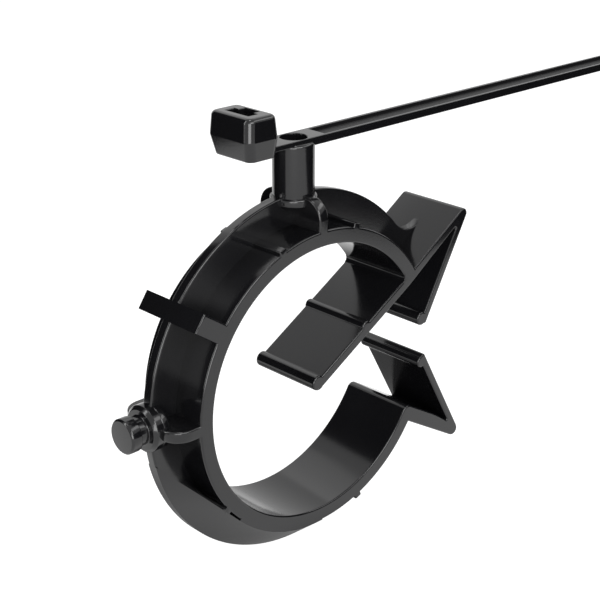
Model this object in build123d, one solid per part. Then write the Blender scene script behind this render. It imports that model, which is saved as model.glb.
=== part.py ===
from build123d import *
from math import cos, sin, radians, sqrt
import os

# Pipe clip with a cable tie, moulded in one piece. Millimetres, +Z up.
# Origin: centre of the pipe bore, in the middle of the clip's width (along Y).
# Angles run in the XZ plane from +X towards +Z. The tie stands at 90 degrees.

# Pipe clip: driving sizes
BORE_R = 22.0            # pipe seat
BAND_T = 2.4             # wall round the pipe
WIDTH = 13.2             # along the pipe
RIM_R = 29.1             # outer edge of the middle flange
FLANGE_T = 1.8
MOUTH_HALF = 30.6        # half of the angle that the mouth leaves open
SINK = 0.2               # how far a piece is sunk in the one that carries it
FAR = 60.0               # past everything, for cutting shapes

# Cross gussets and round pads at the tie (90) and at the stud (180)
GUSSET_T = 1.8
GUSSET_RISE = 0.3        # edge of a gusset above its pad
GUSSET_CORNER_R = 3.1
PAD_R = 3.58
PAD_TOP_R = 28.75
PAD_T = 1.4
PAD_EDGE = 0.35

# Side bracket, low ribs and the fill at the bottom
BRACKET_ANGLE = 145.3
BRACKET_T = 3.0
RIB_ANGLES = (73.5, 109.5, 217.0, 251.0, 289.5)
RIB_T = 1.3
RIB_H = 0.6
FILL_EDGE_H = 0.2        # how far the fill stands above the band at the two faces
FILL_WALL_GAP = 0.4      # from the band to the flat wall where the wall is nearest
FILL_WALL_ANGLE = 225.0
FILL_END_ANGLE = 270.0

# Both jaws are laid out along the radius at the mouth: (along it, above it)
TONGUE_END = -0.6
TONGUE_TOP = 0.95
TONGUE_BOTTOM = -0.7
HOOK_CORNER = (41.19, 1.874)
HOOK_UNDER = (35.73, 0.246)
HOOK_ROUND = 0.9
LEAF_T = 1.35
LEAF_END_OUT = 1.5       # leaf end outside the bore radius
LEAF_END_Z = 2.75
LEAF_BEAD = (0.613, 1.369, 1.15)     # along and inside the leaf's outer line, radius
TONGUE_BEADS = ((-0.75, 0.45, 1.22), (11.5, 0.6, 0.95))
CURL_R = 4.6
VEE_ROUND = 0.25
TIP_ROUND = 0.4

JAW_TOP = 0.85
JAW_BOTTOM = -1.7
JAW_REACH = 41.32
JAW_DIP_RUN = 11.32      # the top dips over this length before the hook
JAW_DIP = (8.72, 0.66)   # a point of the dip, its length before the hook
JAW_VEE = 0.3            # bottom of the vee above the radius
JAW_HEEL = (24.0, -1.4)
JAW_LEAF_T = 1.3
JAW_LEAF_END_Z = -2.45
JAW_LEAF_BEAD = (0.973, 1.231, 1.0)
JAW_ROUND = 1.1
MOUTH_ROUND = 1.2

# Stud that points along -X, stepped up from its pad
COLLAR_R, COLLAR_H, COLLAR_BEVEL = 3.6, 1.45, 0.5
NECK_R, NECK_H = 2.2, 1.5
STUD_R, STUD_H, STUD_BEVEL = 2.68, 1.8, 0.25

# Post and strap
TIE_H = 8.7              # top of the strap above the pad
LEDGE_H = 0.55           # top of the strap above the post's shoulder
LEDGE_ROUND = 0.5
POST_R = 3.2
HOLE_R = 2.05
HOLE_DEPTH = 7.0
STRAP_W = 4.6
STRAP_T = 1.3
ARM_T = 0.85
RAIL_W = 0.47
RECESS_DEPTH = 0.69
RECESS_START = 4.65
STRAP_END = 187.7
TAIL_LENGTH = 14.0
TAIL_END_W = 2.8
TAIL_ROUND = 0.9
TOOTH_START = 82.0
TOOTH_PITCH = 1.25
TOOTH_H = 0.28
TOOTH_SPARE = 1.7        # plain floor after the last tooth

# Head: sections (X from, X to, half width), heights above its own foot
HEAD_DROP = 0.95         # foot of the head below the top of the strap
HEAD_WAIST_H = 3.0
HEAD_H = 6.4
HEAD_FOOT = (-12.15, -6.8, 4.1)
HEAD_WAIST = (-12.75, -6.7, 4.6)
HEAD_CROWN = (-12.5, -7.0, 4.4)
HEAD_CORNER_R = 1.25
HEAD_EDGE = 0.8
SPINE = (-6.9, 0.55)     # rounded rib on the bundle side: X, radius
SPINE_FOOT, SPINE_GAP = 1.2, 0.6
SLOT_X = (-10.9, -9.3)
SLOT_PLAY = 0.15         # beside the strap, each side
POCKET_X = -8.1
POCKET_HALF_Y = 1.5
POCKET_FLOOR = 1.0
PAWL_PLAY = 0.25         # beside the pawl, each side
# Pawl outline from the slot's edge and the head's foot
PAWL = ((1.5, 1.0), (0.0, 1.0), (0.0, 2.6), (-0.6, 3.8), (-0.3, 3.9), (-0.65, 4.7),
        (-0.35, 5.0), (0.1, 4.9), (0.55, 2.9), (1.5, 2.6))

# Dependent sizes
BAND_R = BORE_R + BAND_T
ROOT_R = BORE_R + BAND_T / 2         # ribs and flange start inside the band
HALF_W = WIDTH / 2
JAW_FLAT = JAW_REACH - JAW_DIP_RUN   # the top is straight up to here
GUSSET_TOP_R = PAD_TOP_R + GUSSET_RISE
COLLAR_TOP = PAD_TOP_R + COLLAR_H
NECK_TOP = COLLAR_TOP + NECK_H
STRAP_TOP = PAD_TOP_R + TIE_H
STRAP_LOW = STRAP_TOP - STRAP_T
POST_TOP = STRAP_TOP - LEDGE_H
RECESS_HALF_Y = STRAP_W / 2 - RAIL_W
RECESS_FLOOR = STRAP_TOP - RECESS_DEPTH
RECESS_END = STRAP_END - TAIL_LENGTH
TOOTH_COUNT = int((RECESS_END - TOOTH_SPARE - TOOTH_START) / TOOTH_PITCH)
HEAD_LOW = STRAP_TOP - HEAD_DROP
HEAD_TOP = HEAD_LOW + HEAD_H
SLOT_HALF_Y = STRAP_W / 2 + SLOT_PLAY

UP = (Align.CENTER, Align.CENTER, Align.MIN)


def at(angle, along, up=0.0):
    """Point in XZ: so far along the radius at this angle, then so far to its left."""
    c, s = cos(radians(angle)), sin(radians(angle))
    return (along * c - up * s, along * s + up * c)


def slab(face, width=WIDTH):
    """Thicken a flat XZ outline evenly to both sides of the middle."""
    return extrude(Plane.XZ * face, amount=width / 2, both=True)


def stem(radius, low, high):
    """Upright round stem between two heights."""
    return Pos(0, 0, low) * Cylinder(radius, high - low, align=UP)


def block_on_ring(angle, thick, r_from, r_to, width=WIDTH):
    """Plain rib that stands on the ring at an angle."""
    return slab(Polygon(at(angle, r_from, -thick / 2), at(angle, r_to, -thick / 2),
                        at(angle, r_to, thick / 2), at(angle, r_from, thick / 2),
                        align=None), width)


def bead(x, z, r, width=WIDTH):
    """Round bead along Y."""
    return slab(Pos(x, z) * Circle(r), width)


def mouth():
    """The wedge that the mouth leaves open."""
    return Polygon((0, 0), at(-MOUTH_HALF, FAR), at(MOUTH_HALF, FAR), align=None)


def ring_band():
    return slab(Circle(BAND_R) - Circle(BORE_R) - mouth())


def line_meet(p, q, a, b):
    """Where the line p-q meets the line a-b."""
    d1 = (q[0] - p[0], q[1] - p[1])
    d2 = (b[0] - a[0], b[1] - a[1])
    den = d1[0] * d2[1] - d1[1] * d2[0]
    t = ((a[0] - p[0]) * d2[1] - (a[1] - p[1]) * d2[0]) / den
    return (p[0] + t * d1[0], p[1] + t * d1[1])


def offset_line(p, q, gap):
    """The line p-q moved to its left."""
    dx, dz = q[0] - p[0], q[1] - p[1]
    n = sqrt(dx * dx + dz * dz)
    return ((p[0] - gap * dz / n, p[1] + gap * dx / n),
            (q[0] - gap * dz / n, q[1] + gap * dx / n))


def along_line(p, q, distance):
    """The point so far from p towards q."""
    dx, dz = q[0] - p[0], q[1] - p[1]
    k = distance / sqrt(dx * dx + dz * dz)
    return (p[0] + k * dx, p[1] + k * dz)


def rounded(body, spot, radius):
    """Round the crosswise edge that is nearest to a spot of the outline."""
    edges = body.edges().filter_by(Axis.Y)
    return fillet(edges.sort_by_distance((spot[0], 0, spot[1]))[0], radius)


def curl():
    """End of the flange: an arc that leaves the rim and meets the plate, tangent to both."""
    p = at(MOUTH_HALF, BORE_R, TONGUE_TOP)
    corner = at(MOUTH_HALF, *HOOK_CORNER)
    dx, dz = corner[0] - p[0], corner[1] - p[1]
    n = sqrt(dx * dx + dz * dz)
    t, up = (dx / n, dz / n), (-dz / n, dx / n)
    height = up[0] * p[0] + up[1] * p[1] + CURL_R
    along = sqrt((RIM_R + CURL_R) ** 2 - height ** 2)
    c = (along * t[0] + height * up[0], along * t[1] + height * up[1])
    on_rim = (c[0] * RIM_R / (RIM_R + CURL_R), c[1] * RIM_R / (RIM_R + CURL_R))
    on_plate = (c[0] - CURL_R * up[0], c[1] - CURL_R * up[1])
    chord_mid = ((on_rim[0] + on_plate[0]) / 2, (on_rim[1] + on_plate[1]) / 2)
    lowest = along_line(c, chord_mid, CURL_R)
    sunk = (on_plate[0] - 2 * SINK * up[0], on_plate[1] - 2 * SINK * up[1])
    inside = at(MOUTH_HALF, ROOT_R)
    back = along_line(on_rim, (0, 0), RIM_R - BAND_R)
    edge = (ThreePointArc(on_rim, lowest, on_plate)
            + Polyline(on_plate, sunk, inside, back, on_rim))
    return make_face(edge)


def flange():
    """Middle flange, with the curl where it meets the upper jaw."""
    ring = Circle(RIM_R) - Circle(ROOT_R) - mouth()
    return slab(ring, FLANGE_T) + slab(curl(), FLANGE_T)


def gusset(angle):
    """Plate across the ring with two quarter-round top corners."""
    side = HALF_W - GUSSET_CORNER_R
    turn = GUSSET_TOP_R - GUSSET_CORNER_R
    foot = BORE_R + SINK
    k = GUSSET_CORNER_R * sqrt(0.5)
    outline = (Polyline((-HALF_W, turn), (-HALF_W, foot), (HALF_W, foot), (HALF_W, turn))
               + ThreePointArc((HALF_W, turn), (side + k, turn + k), (side, GUSSET_TOP_R))
               + Line((side, GUSSET_TOP_R), (-side, GUSSET_TOP_R))
               + ThreePointArc((-side, GUSSET_TOP_R), (-side - k, turn + k), (-HALF_W, turn)))
    plate = extrude(Plane.YZ * make_face(outline), amount=GUSSET_T / 2, both=True)
    return Rot(0, 90 - angle, 0) * plate


def pad(angle):
    """Round pad sunk in the cross of flange and gusset, its edges softened."""
    disc = stem(PAD_R, PAD_TOP_R - PAD_T, PAD_TOP_R)
    levels = disc.edges().group_by(Axis.Z)
    return Rot(0, 90 - angle, 0) * fillet(levels[0] + levels[-1], PAD_EDGE)


def stud():
    """Stepped push-in stud on the second pad."""
    collar = stem(COLLAR_R, PAD_TOP_R - SINK, COLLAR_TOP)
    collar = chamfer(collar.edges().group_by(Axis.Z)[-1], COLLAR_BEVEL)
    neck = stem(NECK_R, COLLAR_TOP - SINK, NECK_TOP + SINK)
    head = stem(STUD_R, NECK_TOP, NECK_TOP + STUD_H)
    head = chamfer(head.edges().group_by(Axis.Z)[-1], STUD_BEVEL)
    return Rot(0, -90, 0) * (collar + neck + head)


def fill():
    """Cone-sided fill between band and rim at the bottom, with a flat wall at its upper end."""
    edge_r = BAND_R + FILL_EDGE_H
    half = FLANGE_T / 2
    outline = Polygon((ROOT_R, -HALF_W), (edge_r, -HALF_W), (RIM_R, -half),
                      (RIM_R, half), (edge_r, HALF_W), (ROOT_R, HALF_W), align=None)
    body = revolve(outline, Axis.Y, 360)
    wall, a = BAND_R + FILL_WALL_GAP, FILL_WALL_ANGLE
    beyond_wall = slab(Polygon(at(a, wall), at(a, FAR), at(a, FAR, -FAR), at(a, wall, -FAR),
                               align=None))
    wedge = slab(Polygon((0, 0), at(a, FAR), at(FILL_END_ANGLE, FAR), align=None))
    return (body & beyond_wall) + (body & wedge)


def upper_jaw():
    """Tongue across the bore, and the hook that folds back outside."""
    a = MOUTH_HALF
    corner = at(a, *HOOK_CORNER)
    leaf_end = (BORE_R + LEAF_END_OUT, LEAF_END_Z)
    inner = offset_line(corner, leaf_end, -LEAF_T)
    low_in = at(a, BORE_R, TONGUE_BOTTOM)
    vee = line_meet(low_in, at(a, *HOOK_UNDER), *inner)
    outline = Polygon(at(a, TONGUE_END, TONGUE_TOP), at(a, TONGUE_END, TONGUE_BOTTOM), low_in,
                      vee, inner[1], leaf_end, corner, at(a, BORE_R, TONGUE_TOP), align=None)
    body = rounded(slab(outline), corner, HOOK_ROUND)
    body = rounded(body, vee, VEE_ROUND)
    body = rounded(body, leaf_end, TIP_ROUND)
    for along, up, radius in TONGUE_BEADS:
        body += bead(*at(a, along, up), radius)
    along, inside, radius = LEAF_BEAD
    row = offset_line(corner, leaf_end, -inside)
    return body + bead(*along_line(row[1], row[0], along), radius)


def lower_jaw():
    """Thick lower lip of the mouth with its hook."""
    a = -MOUTH_HALF
    corner = at(a, JAW_REACH, JAW_BOTTOM)
    leaf_end = (BORE_R + LEAF_END_OUT, JAW_LEAF_END_Z)
    inner = offset_line(corner, leaf_end, JAW_LEAF_T)
    vee = line_meet(at(a, JAW_FLAT, JAW_VEE), at(a, JAW_REACH, JAW_VEE), *inner)
    lip = at(a, BORE_R, JAW_TOP)
    flat_end = at(a, JAW_FLAT, JAW_TOP)
    edge = (Polyline(flat_end, lip, at(a, BORE_R, JAW_HEEL[1]), at(a, JAW_HEEL[0], JAW_BOTTOM),
                     corner, leaf_end, inner[1], vee)
            + ThreePointArc(vee, at(a, JAW_REACH - JAW_DIP[0], JAW_DIP[1]), flat_end))
    body = slab(make_face(edge))
    for spot, radius in ((corner, JAW_ROUND), (vee, VEE_ROUND), (leaf_end, TIP_ROUND),
                         (lip, MOUTH_ROUND)):
        body = rounded(body, spot, radius)
    along, inside, radius = JAW_LEAF_BEAD
    row = offset_line(corner, leaf_end, inside)
    return body + bead(*along_line(row[1], row[0], along), radius)


def post():
    """Post under the eye of the strap, its shoulder rounded beside the strap."""
    body = stem(POST_R, PAD_TOP_R - SINK, POST_TOP)
    return fillet(body.edges().group_by(Axis.Z)[-1], LEDGE_ROUND)


def post_hole():
    return stem(HOLE_R, STRAP_TOP - HOLE_DEPTH, STRAP_TOP + SINK)


def strap():
    """Flat strap with a long recess between two rails, teeth on its floor, and a tapered tail."""
    h, end = STRAP_W / 2, TAIL_END_W / 2
    plan = Polygon((0, -h), (RECESS_END, -h), (STRAP_END, -end), (STRAP_END, end),
                   (RECESS_END, h), (0, h), align=None)
    body = Pos(0, 0, STRAP_LOW) * extrude(plan, amount=STRAP_T)
    body = fillet(body.edges().filter_by(Axis.Z).group_by(Axis.X)[-1], TAIL_ROUND)
    recess = Pos((RECESS_START + RECESS_END) / 2, 0, RECESS_FLOOR) * Box(
        RECESS_END - RECESS_START, 2 * RECESS_HALF_Y, 2 * RECESS_DEPTH, align=UP)
    return body - recess + teeth()


def teeth():
    """Saw teeth on the floor of the recess, steep side towards the eye."""
    points = [(TOOTH_START, RECESS_FLOOR - SINK)]
    for i in range(TOOTH_COUNT):
        x = TOOTH_START + i * TOOTH_PITCH
        points += [(x, RECESS_FLOOR), (x, RECESS_FLOOR + TOOTH_H)]
    end = TOOTH_START + TOOTH_COUNT * TOOTH_PITCH
    points += [(end, RECESS_FLOOR), (end, RECESS_FLOOR - SINK)]
    return slab(Polygon(*points, align=None), 2 * (RECESS_HALF_Y + RAIL_W / 8))


def arm():
    """Thin arm from the eye to the foot of the head."""
    length = POST_R / 2 - POCKET_X
    return Pos(POCKET_X + length / 2, 0, STRAP_TOP - ARM_T) * Box(length, STRAP_W, ARM_T, align=UP)


def head_section(size, z):
    x_low, x_high, half_y = size
    outline = RectangleRounded(x_high - x_low, 2 * half_y, HEAD_CORNER_R)
    return Pos((x_low + x_high) / 2, 0, z) * outline


def head():
    """Tie head: box with a waist, a T-shaped slot, and a pawl on the bundle side."""
    waist = head_section(HEAD_WAIST, HEAD_LOW + HEAD_WAIST_H)
    upper = loft([waist, head_section(HEAD_CROWN, HEAD_TOP)], ruled=True)
    upper = fillet(upper.edges().group_by(Axis.Z)[-1], HEAD_EDGE)
    body = loft([head_section(HEAD_FOOT, HEAD_LOW), waist], ruled=True) + upper
    body += Pos(SPINE[0], 0, 0) * stem(SPINE[1], HEAD_LOW + SPINE_FOOT, HEAD_TOP - SPINE_GAP)
    slot = Pos((SLOT_X[0] + SLOT_X[1]) / 2, 0, HEAD_LOW - HEAD_H / 2) * Box(
        SLOT_X[1] - SLOT_X[0], 2 * SLOT_HALF_Y, 2 * HEAD_H, align=UP)
    pocket = Pos((SLOT_X[1] - SINK + POCKET_X) / 2, 0, HEAD_LOW + POCKET_FLOOR) * Box(
        POCKET_X - SLOT_X[1] + SINK, 2 * POCKET_HALF_Y, HEAD_H, align=UP)
    return body - slot - pocket + pawl()


def pawl():
    """Hinged tongue in the pocket that bites into the recess of the strap."""
    points = [(SLOT_X[1] + x, HEAD_LOW + z) for x, z in PAWL]
    return slab(Polygon(*points, align=None), 2 * (POCKET_HALF_Y - PAWL_PLAY))


def clip():
    body = ring_band() + flange() + fill()
    body += block_on_ring(BRACKET_ANGLE, BRACKET_T, ROOT_R, RIM_R)
    for angle in RIB_ANGLES:
        body += block_on_ring(angle, RIB_T, ROOT_R, BAND_R + RIB_H)
    for angle in (90, 180):
        body += gusset(angle) + pad(angle)
    return body + upper_jaw() + lower_jaw() + stud()


def tie():
    return post() + strap() + arm() + head()


os.makedirs("parts", exist_ok=True)
part = clip() + tie() - post_hole()
solids = part.solids()
print("solids", len(solids), "volume", round(part.volume, 1))
whole = solids[0]
whole.label = "pipe_clip_tie"
export_step(whole, "parts/pipe_clip_tie.step")
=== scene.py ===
# %% [markdown]
# # Pipe clip with a cable tie
# One glossy black moulding: an open ring that grips a pipe, with a middle flange, cross
# gussets, low ribs and sprung jaws, and on top of it a hollow post that carries a cable tie.
# The lesson builds it the way a mould maker would think of it: closed solids with softened
# rims, one for each idea, which are then melted into a single closed skin. That is why light
# runs along every edge as a thin line, as it does on the real part.

# %% Frame and tools
import math

import bmesh
import bpy
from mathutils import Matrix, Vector


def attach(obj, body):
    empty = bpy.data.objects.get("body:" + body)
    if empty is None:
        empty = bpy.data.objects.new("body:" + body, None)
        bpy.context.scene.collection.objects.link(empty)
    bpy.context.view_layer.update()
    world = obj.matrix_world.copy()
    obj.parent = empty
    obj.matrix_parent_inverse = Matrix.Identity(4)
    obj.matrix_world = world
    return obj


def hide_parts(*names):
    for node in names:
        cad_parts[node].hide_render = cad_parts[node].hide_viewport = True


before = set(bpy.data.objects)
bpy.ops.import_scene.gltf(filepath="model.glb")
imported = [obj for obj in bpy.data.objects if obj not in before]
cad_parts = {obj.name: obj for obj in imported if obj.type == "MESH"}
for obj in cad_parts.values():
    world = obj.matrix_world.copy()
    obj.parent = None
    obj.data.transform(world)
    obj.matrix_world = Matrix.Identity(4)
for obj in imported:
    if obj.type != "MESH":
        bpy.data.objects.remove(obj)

bpy.context.view_layer.update()

MM = 0.001


print("frame nodes:", sorted(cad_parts))

# %% [markdown]
# ## Sizes
# Every size is in millimetres and belongs to the real part. The origin is the centre of the
# pipe seat. Angles run in the XZ plane from +X towards +Z, so the tie stands at 90 degrees
# and the stud at 180. A few names are enough to keep neighbouring pieces in step.

# %% Sizes of the ring
BORE_R, BAND_R, RIM_R = 22.0, 24.4, 29.1
ROOT_R = 23.2                  # pieces on the ring start inside the band
HALF_W = 6.6                   # half of the width along the pipe
FLANGE_HALF = 0.9
MOUTH_HALF = 30.6              # half of the angle that the mouth leaves open
EDGE = 0.3                     # softened rim, where a piece names no other
SINK = 0.2                     # how deep under the nearest face a piece's foot is hidden
PAST = 0.1                     # how far a cutter reaches past the face that it cuts
PAD_TOP_R = 28.75              # top of the pads under post and stud
STRAP_TOP = 37.45              # height of the strap's upper side
RING_STEPS = 150               # runs along each long arc of the ring
print("pipe seat across, mm:", 2 * BORE_R)

# %% [markdown]
# ## Outline tools
# Most of the part is flat outlines given a thickness. Three helpers draw such outlines: a
# point given by angle and radius, an arc, and a corner turned into a fillet. An outline is
# only a list of pairs, so it can be checked by printing it.


# %% Points, arcs and fillets
def at(angle, along, up=0.0):
    """Point in XZ: so far along the radius at this angle, then so far to its left."""
    c, s = math.cos(math.radians(angle)), math.sin(math.radians(angle))
    return (along * c - up * s, along * s + up * c)


def arc(centre, radius, start, end, steps):
    """Points on an arc, both ends included, angles in degrees."""
    turns = [math.radians(start + (end - start) * i / steps) for i in range(steps + 1)]
    return [(centre[0] + radius * math.cos(t), centre[1] + radius * math.sin(t)) for t in turns]


def circle(centre, radius, steps=40):
    return arc(centre, radius, 0, 360, steps)[:-1]


def unit(x, z):
    length = math.hypot(x, z)
    return (x / length, z / length)


def fillet(before, corner, after, radius, steps=6):
    """The arc that replaces a corner between two straight runs."""
    to_a = unit(before[0] - corner[0], before[1] - corner[1])
    to_b = unit(after[0] - corner[0], after[1] - corner[1])
    half = math.acos(max(-1, min(1, to_a[0] * to_b[0] + to_a[1] * to_b[1]))) / 2
    mid = unit(to_a[0] + to_b[0], to_a[1] + to_b[1])
    centre = (corner[0] + mid[0] * radius / math.sin(half),
              corner[1] + mid[1] * radius / math.sin(half))
    reach = radius / math.tan(half)
    start = (corner[0] + to_a[0] * reach, corner[1] + to_a[1] * reach)
    end = (corner[0] + to_b[0] * reach, corner[1] + to_b[1] * reach)
    a = math.atan2(start[1] - centre[1], start[0] - centre[0])
    b = math.atan2(end[1] - centre[1], end[0] - centre[0])
    turn = (b - a + math.pi) % (2 * math.pi) - math.pi
    return [(centre[0] + radius * math.cos(a + turn * i / steps),
             centre[1] + radius * math.sin(a + turn * i / steps)) for i in range(steps + 1)]


def soften(points, radii, steps=6):
    """An outline with fillets at the corners that are named by their place in the list."""
    out = []
    for i, corner in enumerate(points):
        if i in radii:
            out += fillet(points[i - 1], corner, points[(i + 1) % len(points)], radii[i], steps)
        else:
            out.append(corner)
    return out


print("a point of the mouth:", [round(v, 3) for v in at(MOUTH_HALF, BORE_R)])

# %% [markdown]
# ## Solids with softened rims
# A moulded edge is never sharp: the tool has a small radius there, and it is this radius
# that catches the light. A Bevel modifier could add it afterwards, but on outlines with many
# short runs it pinches. Here the radius is part of the solid: the outline is stacked in
# several rings, each one inset a little more towards the face, along a quarter circle. The
# same stack of rings also makes turned pieces, the head and the cutters.


# %% Stack of rings
def inset(outline, gap):
    """An outline that runs counterclockwise, moved inwards."""
    out = []
    for i, (px, pz) in enumerate(outline):
        ax, az = outline[i - 1]
        bx, bz = outline[(i + 1) % len(outline)]
        d1, d2 = unit(px - ax, pz - az), unit(bx - px, bz - pz)
        side = (-d1[1] - d2[1], d1[0] + d2[0])
        k = gap / (1 + d1[0] * d2[0] + d1[1] * d2[1])
        out.append((px + side[0] * k, pz + side[1] * k))
    return out


def closed(name, rings):
    """A closed mesh from a stack of rings; a ring of one point is a pole."""
    bm = bmesh.new()
    levels = [[bm.verts.new([v * MM for v in p]) for p in ring] for ring in rings]
    for low, high in zip(levels, levels[1:]):
        count = max(len(low), len(high))
        for i in range(count):
            j = (i + 1) % count
            if len(low) == 1:
                bm.faces.new((low[0], high[j], high[i]))
            elif len(high) == 1:
                bm.faces.new((low[i], low[j], high[0]))
            else:
                bm.faces.new((low[i], low[j], high[j], high[i]))
    for end in (levels[0], levels[-1]):
        if len(end) > 2:
            bm.faces.new(end)
    bmesh.ops.recalc_face_normals(bm, faces=bm.faces)
    mesh = bpy.data.meshes.new(name)
    bm.to_mesh(mesh)
    bm.free()
    obj = bpy.data.objects.new(name, mesh)
    bpy.context.scene.collection.objects.link(obj)
    return obj


print("a square of 10, inset by 1:", inset([(0, 0), (10, 0), (10, 10), (0, 10)], 1))


# %% Prism and lathe
def along_y(u, v, w):
    """Outlines of the side view stand in XZ and get their thickness along the pipe."""
    return (u, w, v)


def along_z(u, v, w):
    """Outlines seen from above lie in XY and get their thickness upwards."""
    return (u, v, w)


def prism(name, outline, low, high, place=along_y, rim=EDGE, steps=3):
    """A plate from an outline, with both of its rims rounded."""
    quarter = [math.pi / 2 * i / steps for i in range(steps + 1)] if rim else [0]
    ends = [(rim * (1 - math.sin(t)), rim * (1 - math.cos(t))) for t in quarter]
    levels = [(low + deep, gap) for deep, gap in reversed(ends)]
    levels += [(high - deep, gap) for deep, gap in ends]
    return closed(name, [[place(u, v, w) for u, v in inset(outline, gap)] for w, gap in levels])


def lathe(name, profile, angle=90, steps=96):
    """A turned piece whose axis is the radius at this angle; profile is (radius, height)."""
    rings = []
    for radius, height in profile:
        ring = circle((0, 0), radius, steps) if radius else [(0, 0)]
        spots = [(at(angle, height, u), v) for u, v in ring]
        rings.append([(x, v, z) for (x, z), v in spots])
    return closed(name, rings)


print("outline point 1, 2 at depth 3, side view and top view:", along_y(1, 2, 3), along_z(1, 2, 3))

# %% [markdown]
# ## The ring
# The seat is a band of even thickness, open at the mouth. Round its middle runs a flat
# flange, which makes the springy ring stiff. At the upper jaw the flange's rim doesn't stop:
# it runs out in a concave arc that meets the plate of the jaw without a corner. The arc's
# centre follows from two conditions, that it touches the rim and that it touches the plate.

# %% Band and flange
mouth_end = 360 - MOUTH_HALF
band = prism("band", arc((0, 0), BAND_R, MOUTH_HALF, mouth_end, RING_STEPS)
             + arc((0, 0), BORE_R, mouth_end, MOUTH_HALF, RING_STEPS), -HALF_W, HALF_W)

TONGUE_TOP, TONGUE_BOTTOM, TONGUE_END = 0.95, -0.7, -0.6
HOOK_CORNER = at(MOUTH_HALF, 41.19, 1.874)
CURL_R, CURL_SINK, CURL_STEPS = 4.6, 0.4, 28


def curl():
    """Points of the concave arc from the plate up to the rim, and where it meets the rim."""
    foot = at(MOUTH_HALF, BORE_R, TONGUE_TOP)
    t = unit(HOOK_CORNER[0] - foot[0], HOOK_CORNER[1] - foot[1])
    up = (-t[1], t[0])
    height = up[0] * foot[0] + up[1] * foot[1] + CURL_R
    along = math.sqrt((RIM_R + CURL_R) ** 2 - height ** 2)
    centre = (along * t[0] + height * up[0], along * t[1] + height * up[1])
    on_plate = math.degrees(math.atan2(-up[1], -up[0]))
    to_ring = math.degrees(math.atan2(-centre[1], -centre[0]))
    turn = (to_ring - on_plate + 180) % 360 - 180
    points = arc(centre, CURL_R, on_plate, on_plate + turn, CURL_STEPS)
    sunk = (points[0][0] - CURL_SINK * up[0], points[0][1] - CURL_SINK * up[1])
    return [sunk] + points, math.degrees(math.atan2(centre[1], centre[0]))


curl_points, curl_angle = curl()
rim_arc = arc((0, 0), RIM_R, curl_angle, mouth_end, RING_STEPS)
flange = prism("flange", curl_points[:-1] + rim_arc
               + arc((0, 0), ROOT_R, mouth_end, MOUTH_HALF, RING_STEPS),
               -FLANGE_HALF, FLANGE_HALF)
print("the curl leaves the rim at", round(curl_angle, 1), "degrees")

# %% [markdown]
# ## Fill at the bottom
# At the lower left the space beside the flange is filled, with sides that slope like a cone
# from the width of the band down to the flange. Its upper end is one flat wall that only
# touches the band. A cone-sided sector is turned round the pipe's axis and the corner inside
# the wall is cut away, which is also how the insert of a mould would be milled.

# %% Fill
FILL_START, FILL_END, FILL_STEPS = 190.0, 270.0, 60
FILL_LIP, FADE = 0.2, 14.0     # how far it stands beyond the band, and where that fades out
WALL_ANGLE, WALL_R = 225.0, BAND_R + 0.22
CUT_IN, CUT_FAR, CUT_HALF = 15, 30, 10     # on these sides the cutter ends outside the fill


def fill_section(angle):
    """One slice of the fill, as points in XYZ."""
    edge = BAND_R + FILL_LIP * min(1, (FILL_END - angle) / FADE)
    half_slice = [(ROOT_R, -HALF_W), (edge, -HALF_W), (RIM_R, -FLANGE_HALF)]
    full = half_slice + [(r, -y) for r, y in reversed(half_slice)]
    return [along_y(*at(angle, r), y) for r, y in full]


fill = closed("fill", [fill_section(FILL_START + (FILL_END - FILL_START) * i / FILL_STEPS)
                       for i in range(FILL_STEPS + 1)])
wall_cut = prism("wall_cut", [at(WALL_ANGLE, CUT_IN, -CUT_FAR), at(WALL_ANGLE, WALL_R, -CUT_FAR),
                              at(WALL_ANGLE, WALL_R), at(WALL_ANGLE, CUT_IN)],
                 -CUT_HALF, CUT_HALF, rim=0)
print("the fill runs from", FILL_START, "to", FILL_END, "degrees")

# %% [markdown]
# ## Jaws
# Both jaws are one bent plate in the side view. The upper one is a long tongue that lies
# across the bore and presses on the pipe; outside the ring the same plate runs on and folds
# back into a hook. The lower one is a thick lip with a hook of its own. Round beads stiffen
# their free ends. Each is drawn as one outline, with the radii that the tool leaves.


# %% Upper jaw
def beside(p, q, along, side):
    """A point so far from p towards q, then so far to the left of that line."""
    d = unit(q[0] - p[0], q[1] - p[1])
    return (p[0] + along * d[0] - side * d[1], p[1] + along * d[1] + side * d[0])


def beside_line(p, q, side):
    """Two points of the line p-q moved so far to its left."""
    return beside(p, q, 0, side), beside(p, q, math.dist(p, q), side)


def meet(p, q, a, b):
    """Where the line p-q meets the line a-b."""
    d1, d2 = (q[0] - p[0], q[1] - p[1]), (b[0] - a[0], b[1] - a[1])
    t = ((a[0] - p[0]) * d2[1] - (a[1] - p[1]) * d2[0]) / (d1[0] * d2[1] - d1[1] * d2[0])
    return (p[0] + t * d1[0], p[1] + t * d1[1])


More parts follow.
